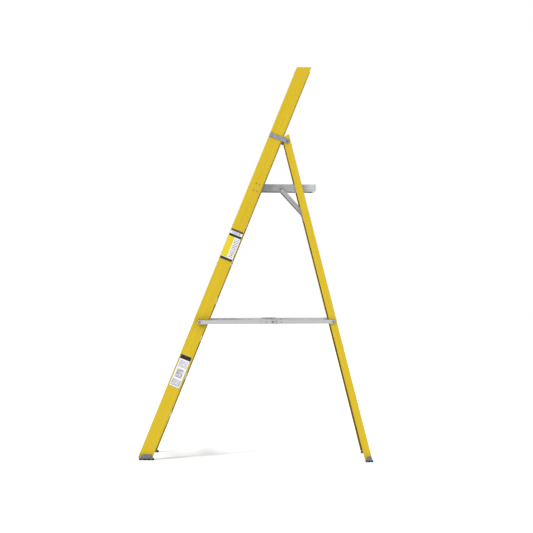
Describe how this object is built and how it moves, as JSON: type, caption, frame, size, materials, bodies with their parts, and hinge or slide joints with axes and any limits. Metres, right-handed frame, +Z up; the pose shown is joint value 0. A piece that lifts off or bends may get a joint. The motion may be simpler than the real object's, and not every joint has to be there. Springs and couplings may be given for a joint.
{
  "type": "platform step ladder",
  "caption": "Folding platform step ladder with fibreglass channel rails, aluminium steps, hinged standing platform, support struts and locking side spreaders.",
  "frame": {"origin": "on the floor, at the middle of the open ladder's footprint", "axes": "+Z up; +X across the ladder to the climber's right; the climber stands on the -Y side and faces +Y"},
  "size_m": [0.8, 1.8146, 3.057],
  "materials": {
    "fibreglass": "pultruded fibreglass, satin gloss, safety yellow",
    "step_aluminium": "mill finish extrusion",
    "platform_aluminium": "mill finish extrusion",
    "bracket_steel": "zinc plated",
    "spreader_aluminium": "mill finish flat bar",
    "cast_grey": "grey powder coat",
    "tread_rubber": "matte moulded rubber",
    "fastener_steel": "zinc plated",
    "label_film": "printed film"
  },
  "bodies": {
    "front_section": {"front_rail_right": "fibreglass", "front_rail_left": "fibreglass", "step_1": "step_aluminium", "step_2": "step_aluminium", "step_3": "step_aluminium", "step_4": "step_aluminium", "step_5": "step_aluminium", "step_6": "step_aluminium", "top_tie": "step_aluminium", "knee_brace_right": "step_aluminium", "knee_brace_left": "step_aluminium", "hinge_bracket_right": "bracket_steel", "hinge_bracket_left": "bracket_steel", "platform_hinge_rod": "bracket_steel", "hinge_spacers": "fastener_steel", "pivot_plate_right": "bracket_steel", "pivot_plate_left": "bracket_steel", "pivot_bolts": "fastener_steel", "pivot_nuts": "fastener_steel", "front_boot_right": "cast_grey", "front_boot_left": "cast_grey", "front_tread_right": "tread_rubber", "front_tread_left": "tread_rubber", "spreader_bolts": "fastener_steel", "label_upper": "label_film", "label_lower": "label_film", "flange_rivets": "fastener_steel", "web_rivets": "fastener_steel"},
    "rear_section": {"rear_rail_right": "fibreglass", "rear_rail_left": "fibreglass", "rear_cross_lower": "step_aluminium", "rear_cross_upper": "step_aluminium", "support_bar": "bracket_steel", "support_block_right": "bracket_steel", "support_block_left": "bracket_steel", "rear_boot_right": "cast_grey", "rear_boot_left": "cast_grey", "rear_tread_right": "tread_rubber", "rear_tread_left": "tread_rubber", "rear_rivets": "fastener_steel"},
    "platform": {"platform_deck": "platform_aluminium", "platform_side_right": "platform_aluminium", "platform_side_left": "platform_aluminium", "platform_front_beam": "platform_aluminium", "platform_rear_beam": "platform_aluminium", "platform_rivets": "fastener_steel", "strut_pins": "fastener_steel"},
    "spreader_front_right": {"spreader_front_arm_right": "spreader_aluminium", "lock_plate_right": "spreader_aluminium", "lock_rivets_right": "fastener_steel"},
    "spreader_rear_right": {"spreader_rear_arm_right": "spreader_aluminium", "rear_arm_rivets_right": "fastener_steel"},
    "spreader_front_left": {"spreader_front_arm_left": "spreader_aluminium", "lock_plate_left": "spreader_aluminium", "lock_rivets_left": "fastener_steel"},
    "spreader_rear_left": {"spreader_rear_arm_left": "spreader_aluminium", "rear_arm_rivets_left": "fastener_steel"},
    "strut_arm_right": {"strut_right": "platform_aluminium"},
    "strut_arm_left": {"strut_left": "platform_aluminium"}
  },
  "joints": [
    {"name": "rear_fold", "type": "hinge", "parent": "front_section", "child": "rear_section", "pos_m": [0, 0.22937, 2.477], "axis": [-1, 0, 0], "range_deg": [0, 36.35]},
    {"name": "platform_fold", "type": "hinge", "parent": "front_section", "child": "platform", "pos_m": [0, -0.00709, 2.11579], "axis": [1, 0, 0], "range_deg": [0, 68.32]},
    {"name": "strut_fold_right", "type": "hinge", "parent": "platform", "child": "strut_arm_right", "pos_m": [0, 0.18291, 2.10679], "axis": [1, 0, 0], "range_deg": [0, 47.13]},
    {"name": "spreader_front_fold_right", "type": "hinge", "parent": "front_section", "child": "spreader_front_right", "pos_m": [0, -0.44165, 1.066], "axis": [1, 0, 0], "range_deg": [0, 68.01]},
    {"name": "spreader_rear_fold_right", "type": "hinge", "parent": "spreader_front_right", "child": "spreader_rear_right", "pos_m": [0, 0.12739, 1.07258], "axis": [-1, 0, 0], "range_deg": [0, 167.29]},
    {"name": "strut_fold_left", "type": "hinge", "parent": "platform", "child": "strut_arm_left", "pos_m": [0, 0.18291, 2.10679], "axis": [1, 0, 0], "range_deg": [0, 47.13]},
    {"name": "spreader_front_fold_left", "type": "hinge", "parent": "front_section", "child": "spreader_front_left", "pos_m": [0, -0.44165, 1.066], "axis": [1, 0, 0], "range_deg": [0, 68.01]},
    {"name": "spreader_rear_fold_left", "type": "hinge", "parent": "spreader_front_left", "child": "spreader_rear_left", "pos_m": [0, 0.12739, 1.07258], "axis": [-1, 0, 0], "range_deg": [0, 167.29]}
  ],
  "couplings": [
    {"joint": "platform_fold", "follows": "rear_fold", "ratio": 1.8795},
    {"joint": "strut_fold_right", "follows": "rear_fold", "ratio": 1.2964},
    {"joint": "spreader_front_fold_right", "follows": "rear_fold", "ratio": 1.8711},
    {"joint": "spreader_rear_fold_right", "follows": "rear_fold", "ratio": 4.6023},
    {"joint": "strut_fold_left", "follows": "rear_fold", "ratio": 1.2964},
    {"joint": "spreader_front_fold_left", "follows": "rear_fold", "ratio": 1.8711},
    {"joint": "spreader_rear_fold_left", "follows": "rear_fold", "ratio": 4.6023}
  ]
}
